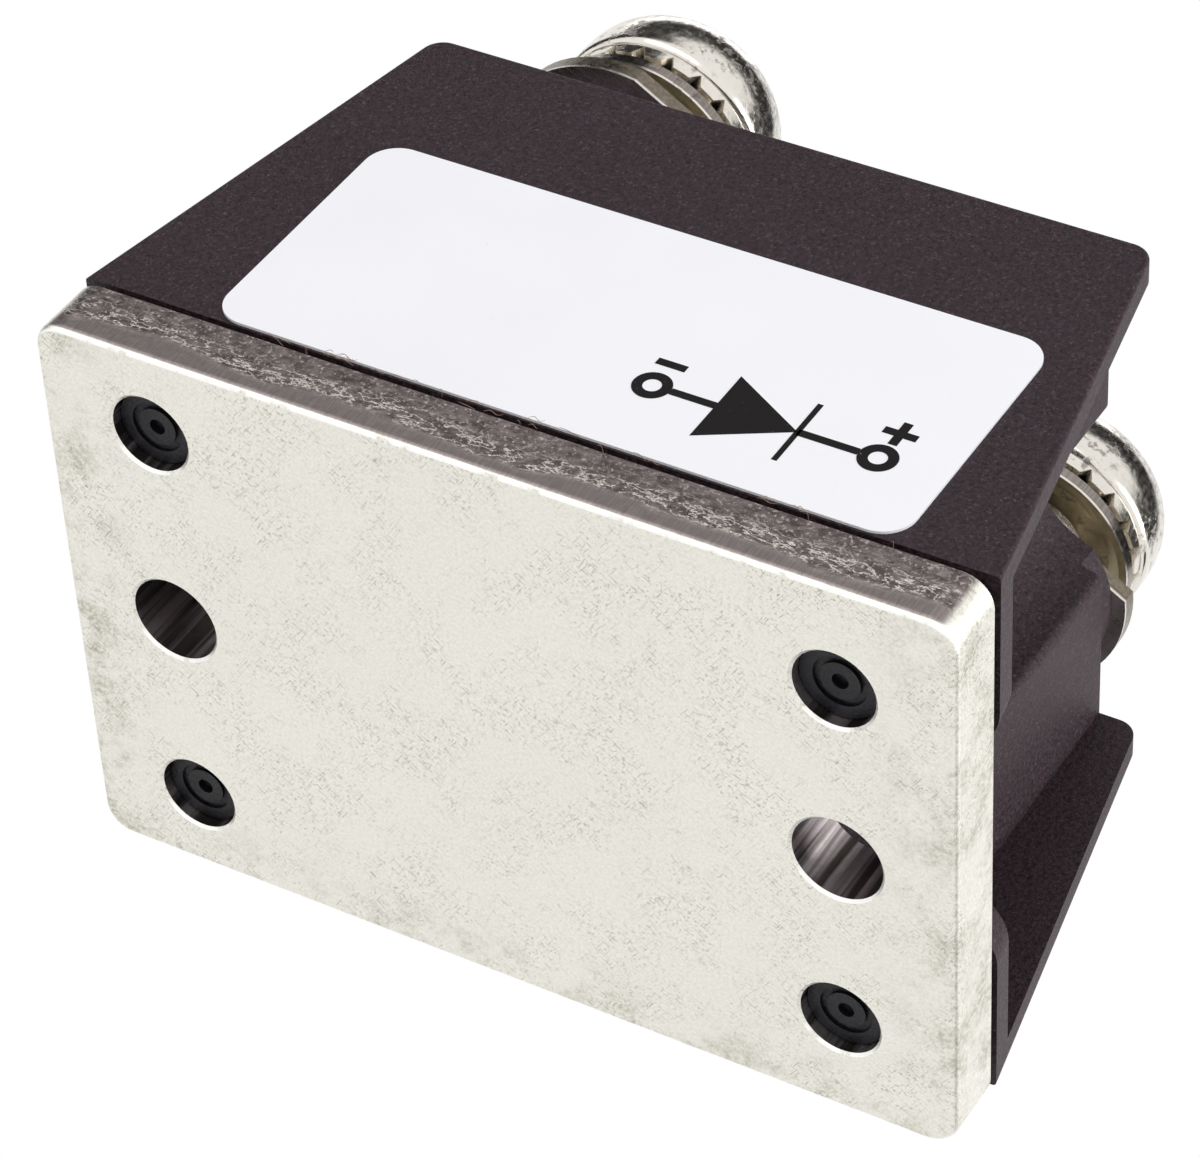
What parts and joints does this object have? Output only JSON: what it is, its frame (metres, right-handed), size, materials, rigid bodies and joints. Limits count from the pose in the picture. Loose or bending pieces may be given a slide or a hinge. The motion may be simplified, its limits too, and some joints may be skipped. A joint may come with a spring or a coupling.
{
  "type": "screw-terminal diode module",
  "caption": "Isolated power diode module: nickel-plated base plate with mounting holes, black moulded housing with side walls, diagonal screw terminals and a printed side label.",
  "frame": {"origin": "centre of the mounting face, under the base plate, midway between the two mounting holes", "axes": "+X along the length, through both mounting holes; +Z from the mounting face towards the terminals; the rating label is on the -Y side"},
  "size_m": [0.0402, 0.0268, 0.0328],
  "materials": {
    "plate_nickel": "satin",
    "bright_nickel": "polished",
    "strap_nickel": "satin",
    "black_moulding": "matte",
    "label_film": "semi-gloss",
    "copper": "satin",
    "solder": "satin",
    "white_ceramic": "matte",
    "silicon": "gloss",
    "clear_gel": "satin"
  },
  "bodies": {
    "module": {"base_plate": "plate_nickel", "housing": "black_moulding", "rating_label": "label_film", "terminal_nut_left": "bright_nickel", "terminal_nut_right": "bright_nickel", "terminal_strap_left": "strap_nickel", "terminal_strap_right": "strap_nickel", "base_solder": "solder", "substrate_copper": "copper", "substrate_ceramic": "white_ceramic", "anode_pad": "copper", "cathode_pad": "copper", "chip_solder": "solder", "diode_chip": "silicon", "clip_top_solder": "solder", "clip_foot_solder": "solder", "anode_clip": "copper", "strap_solder_left": "solder", "strap_solder_right": "solder", "silicone_gel": "clear_gel"},
    "washers_left": {"cup_washer_left": "bright_nickel", "lock_washer_left": "bright_nickel"},
    "screw_left": {"terminal_screw_left": "bright_nickel"},
    "washers_right": {"cup_washer_right": "bright_nickel", "lock_washer_right": "bright_nickel"},
    "screw_right": {"terminal_screw_right": "bright_nickel"}
  },
  "joints": [
    {"name": "travel_left", "type": "slide", "parent": "module", "child": "washers_left", "axis": [0, 0, 1], "range_m": [-0.001, 0.0024]},
    {"name": "turn_left", "type": "hinge", "parent": "washers_left", "child": "screw_left", "pos_m": [-0.00875, -0.00735, 0.026], "axis": [0, 0, 1], "range_deg": [-450.1, 1080.1]},
    {"name": "travel_right", "type": "slide", "parent": "module", "child": "washers_right", "axis": [0, 0, 1], "range_m": [-0.001, 0.0024]},
    {"name": "turn_right", "type": "hinge", "parent": "washers_right", "child": "screw_right", "pos_m": [0.0095, 0.007, 0.026], "axis": [0, 0, 1], "range_deg": [-450.1, 1080.1]}
  ],
  "couplings": [
    {"joint": "turn_left", "follows": "travel_left", "rad_per_m": 7854},
    {"joint": "turn_right", "follows": "travel_right", "rad_per_m": 7854}
  ]
}
